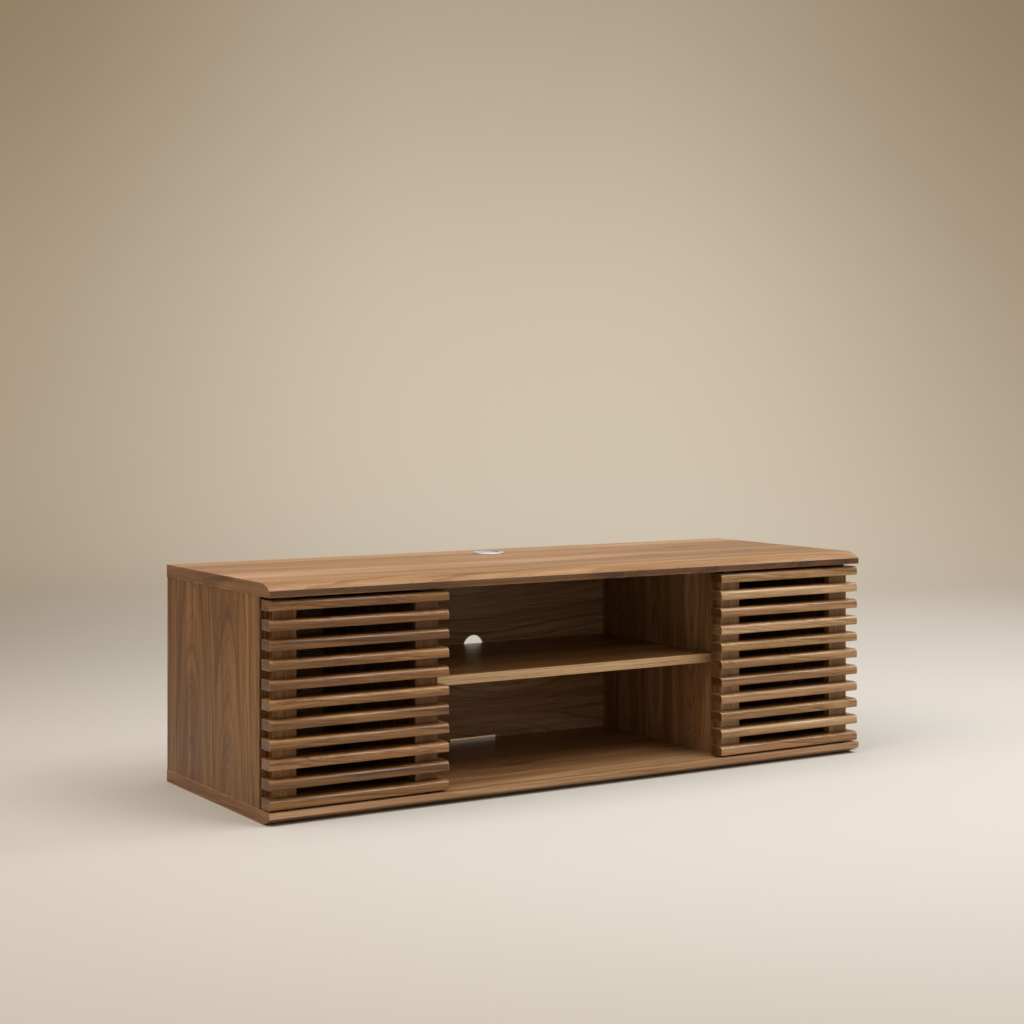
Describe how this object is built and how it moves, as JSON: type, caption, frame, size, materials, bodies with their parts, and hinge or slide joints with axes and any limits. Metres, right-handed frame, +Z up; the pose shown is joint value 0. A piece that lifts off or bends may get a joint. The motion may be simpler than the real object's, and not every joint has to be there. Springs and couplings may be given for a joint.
{
  "type": "tv stand",
  "caption": "Low media console with sliding slatted doors over its side bays, an open shelved bay between them, cable openings in the back and a turning cable grommet in the top.",
  "frame": {"origin": "on the floor under the middle of the stand", "axes": "+X to the viewer's right along the stand, +Y from the door side to the back, +Z up"},
  "size_m": [1.18, 0.415, 0.3706],
  "materials": {
    "walnut_panel": "satin walnut veneer, grain along the length",
    "walnut_upright": "satin walnut veneer, grain upright",
    "walnut_back": "satin walnut veneer, grain along the length",
    "walnut_shelf": "satin walnut veneer, grain along the length",
    "walnut_slat": "satin solid walnut, grain along the slat",
    "walnut_stile": "satin solid walnut, grain upright",
    "beech": "plain beech dowel",
    "plated_steel": "zinc-plated steel",
    "cast_zinc": "plain die-cast zinc",
    "track_aluminium": "mill-finish extrusion",
    "grommet_metal": "satin silver",
    "black_steel": "blackened steel pin",
    "black_nylon": "moulded nylon",
    "black_rubber": "moulded rubber"
  },
  "bodies": {
    "carcass": {"top_panel": "walnut_panel", "bottom_panel": "walnut_panel", "left_side_panel": "walnut_upright", "right_side_panel": "walnut_upright", "left_divider": "walnut_upright", "right_divider": "walnut_upright", "back_panel": "walnut_back", "centre_shelf": "walnut_shelf", "shelf_pins": "plated_steel", "grommet_sleeve": "grommet_metal", "door_track": "track_aluminium", "track_screws": "plated_steel", "track_stops": "black_rubber", "carcass_dowels": "beech", "cam_bolts": "plated_steel", "cam_locks": "cast_zinc", "connecting_screws": "plated_steel", "back_panel_screws": "plated_steel"},
    "cap": {"grommet_cap": "grommet_metal"},
    "left_door": {"left_door_slat_01": "walnut_slat", "left_door_slat_02": "walnut_slat", "left_door_slat_03": "walnut_slat", "left_door_slat_04": "walnut_slat", "left_door_slat_05": "walnut_slat", "left_door_slat_06": "walnut_slat", "left_door_slat_07": "walnut_slat", "left_door_slat_08": "walnut_slat", "left_door_slat_09": "walnut_slat", "left_door_slat_10": "walnut_slat", "left_door_slat_11": "walnut_slat", "left_door_outer_stile": "walnut_stile", "left_door_inner_stile": "walnut_stile", "left_door_slat_screws": "plated_steel", "left_door_gliders": "black_nylon", "left_door_hanger_screws": "plated_steel", "left_door_guide_pins": "black_steel"},
    "right_door": {"right_door_slat_01": "walnut_slat", "right_door_slat_02": "walnut_slat", "right_door_slat_03": "walnut_slat", "right_door_slat_04": "walnut_slat", "right_door_slat_05": "walnut_slat", "right_door_slat_06": "walnut_slat", "right_door_slat_07": "walnut_slat", "right_door_slat_08": "walnut_slat", "right_door_slat_09": "walnut_slat", "right_door_slat_10": "walnut_slat", "right_door_slat_11": "walnut_slat", "right_door_outer_stile": "walnut_stile", "right_door_inner_stile": "walnut_stile", "right_door_slat_screws": "plated_steel", "right_door_gliders": "black_nylon", "right_door_hanger_screws": "plated_steel", "right_door_guide_pins": "black_steel"}
  },
  "joints": [
    {"name": "left_door_slide", "type": "slide", "parent": "carcass", "child": "left_door", "axis": [1, 0, 0], "range_m": [0, 0.272]},
    {"name": "right_door_slide", "type": "slide", "parent": "carcass", "child": "right_door", "axis": [-1, 0, 0], "range_m": [0, 0.272]},
    {"name": "grommet_cap_turn", "type": "hinge", "parent": "carcass", "child": "cap", "pos_m": [0, 0.1305, 0.368], "axis": [0, 0, 1], "continuous": true}
  ]
}
